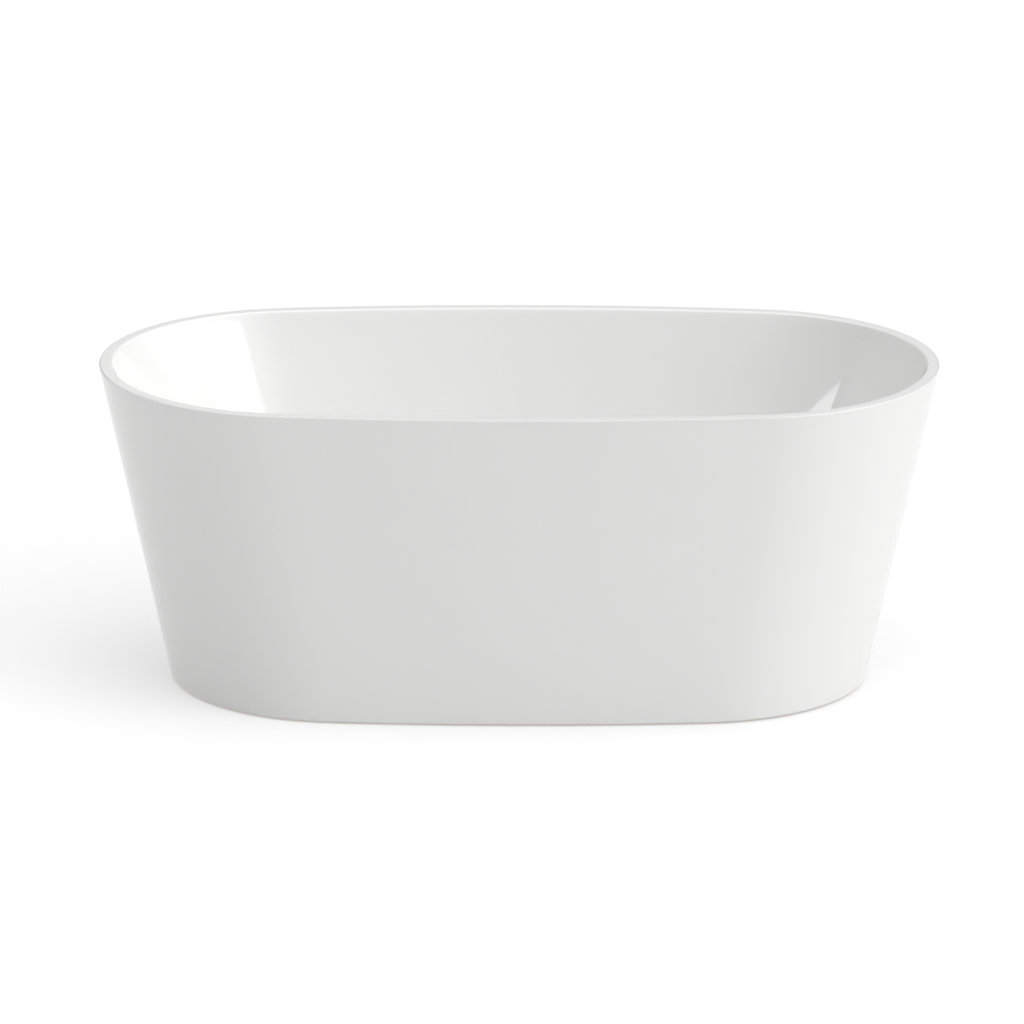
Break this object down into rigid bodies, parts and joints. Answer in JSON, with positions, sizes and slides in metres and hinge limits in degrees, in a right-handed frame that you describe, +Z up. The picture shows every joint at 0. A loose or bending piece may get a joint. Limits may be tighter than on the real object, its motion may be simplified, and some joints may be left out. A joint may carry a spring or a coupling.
{
  "type": "freestanding bathtub",
  "caption": "Oval double-skin freestanding bathtub with a flat rim, straight flared skirt, screw feet, press-to-open waste and piped overflow.",
  "frame": {"origin": "middle of the footprint on the room floor, under the centre of the waste", "axes": "+X along the length, -Y the overflow side, +Z up out of the floor"},
  "size_m": [1.5, 0.75, 0.58],
  "materials": {
    "white_acrylic": "polished white acrylic, high gloss",
    "bond": "cured white adhesive",
    "plywood": "raw plywood",
    "painted_steel": "dark grey powder coat",
    "zinc_steel": "bright zinc plate",
    "black_plastic": "moulded satin black",
    "chrome": "polished chrome plate",
    "brass": "machined",
    "rubber": "soft black rubber",
    "white_plastic": "moulded white polypropylene, satin",
    "hose_plastic": "flexible pale grey hose"
  },
  "bodies": {
    "tub": {"basin_shell": "white_acrylic", "outer_skirt": "white_acrylic", "rim_bond": "bond", "skirt_stiffener": "plywood", "skirt_blocks": "plywood", "base_board": "plywood", "rail_front": "painted_steel", "rail_back": "painted_steel", "crossbar_left": "painted_steel", "crossbar_middle": "painted_steel", "crossbar_right": "painted_steel", "tube_caps": "black_plastic", "frame_bolts": "zinc_steel", "board_screws": "zinc_steel", "skirt_brackets": "zinc_steel", "bracket_screws": "zinc_steel", "weld_nuts": "zinc_steel", "lock_nuts": "zinc_steel", "waste_flange": "chrome", "flange_gasket": "rubber", "lower_gasket": "rubber", "back_nut": "brass", "plug_spring": "zinc_steel", "plug_cartridge": "white_plastic", "waste_tee": "white_plastic", "tee_nut": "white_plastic", "tee_washer": "rubber", "tailpiece": "chrome", "tail_nut": "white_plastic", "tail_washer": "rubber", "overflow_cover": "chrome", "overflow_screw": "chrome", "overflow_gasket": "rubber", "overflow_body": "white_plastic", "overflow_hose": "hose_plastic", "clamp_top": "zinc_steel", "clamp_bottom": "zinc_steel"},
    "plug": {"plug_cap": "chrome", "plug_seal": "rubber", "plug_stem": "brass", "plug_rotor": "white_plastic"},
    "pad_1": {"foot_pad_1": "black_plastic"},
    "stud_1": {"foot_stud_1": "zinc_steel"},
    "pad_2": {"foot_pad_2": "black_plastic"},
    "stud_2": {"foot_stud_2": "zinc_steel"},
    "pad_3": {"foot_pad_3": "black_plastic"},
    "stud_3": {"foot_stud_3": "zinc_steel"},
    "pad_4": {"foot_pad_4": "black_plastic"},
    "stud_4": {"foot_stud_4": "zinc_steel"},
    "pad_5": {"foot_pad_5": "black_plastic"},
    "stud_5": {"foot_stud_5": "zinc_steel"}
  },
  "joints": [
    {"name": "plug_press", "type": "slide", "parent": "tub", "child": "plug", "axis": [0, 0, 1], "range_m": [-0.009, 0], "deforming": ["plug_spring"]},
    {"name": "foot_height_1", "type": "slide", "parent": "tub", "child": "pad_1", "axis": [0, 0, -1], "range_m": [-0.003, 0.011]},
    {"name": "foot_turn_1", "type": "hinge", "parent": "pad_1", "child": "stud_1", "pos_m": [-0.33, -0.165, 0.06], "axis": [0, 0, -1], "range_deg": [-618, 2264]},
    {"name": "foot_height_2", "type": "slide", "parent": "tub", "child": "pad_2", "axis": [0, 0, -1], "range_m": [-0.003, 0.011]},
    {"name": "foot_turn_2", "type": "hinge", "parent": "pad_2", "child": "stud_2", "pos_m": [0.33, -0.165, 0.06], "axis": [0, 0, -1], "range_deg": [-618, 2264]},
    {"name": "foot_height_3", "type": "slide", "parent": "tub", "child": "pad_3", "axis": [0, 0, -1], "range_m": [-0.003, 0.011]},
    {"name": "foot_turn_3", "type": "hinge", "parent": "pad_3", "child": "stud_3", "pos_m": [0.33, 0.165, 0.06], "axis": [0, 0, -1], "range_deg": [-618, 2264]},
    {"name": "foot_height_4", "type": "slide", "parent": "tub", "child": "pad_4", "axis": [0, 0, -1], "range_m": [-0.003, 0.011]},
    {"name": "foot_turn_4", "type": "hinge", "parent": "pad_4", "child": "stud_4", "pos_m": [-0.33, 0.165, 0.06], "axis": [0, 0, -1], "range_deg": [-618, 2264]},
    {"name": "foot_height_5", "type": "slide", "parent": "tub", "child": "pad_5", "axis": [0, 0, -1], "range_m": [-0.003, 0.011]},
    {"name": "foot_turn_5", "type": "hinge", "parent": "pad_5", "child": "stud_5", "pos_m": [-0.13, 0, 0.06], "axis": [0, 0, -1], "range_deg": [-618, 2264]}
  ],
  "couplings": [
    {"joint": "foot_turn_1", "follows": "foot_height_1", "rad_per_m": 3590.4},
    {"joint": "foot_turn_2", "follows": "foot_height_2", "rad_per_m": 3590.4},
    {"joint": "foot_turn_3", "follows": "foot_height_3", "rad_per_m": 3590.4},
    {"joint": "foot_turn_4", "follows": "foot_height_4", "rad_per_m": 3590.4},
    {"joint": "foot_turn_5", "follows": "foot_height_5", "rad_per_m": 3590.4}
  ]
}
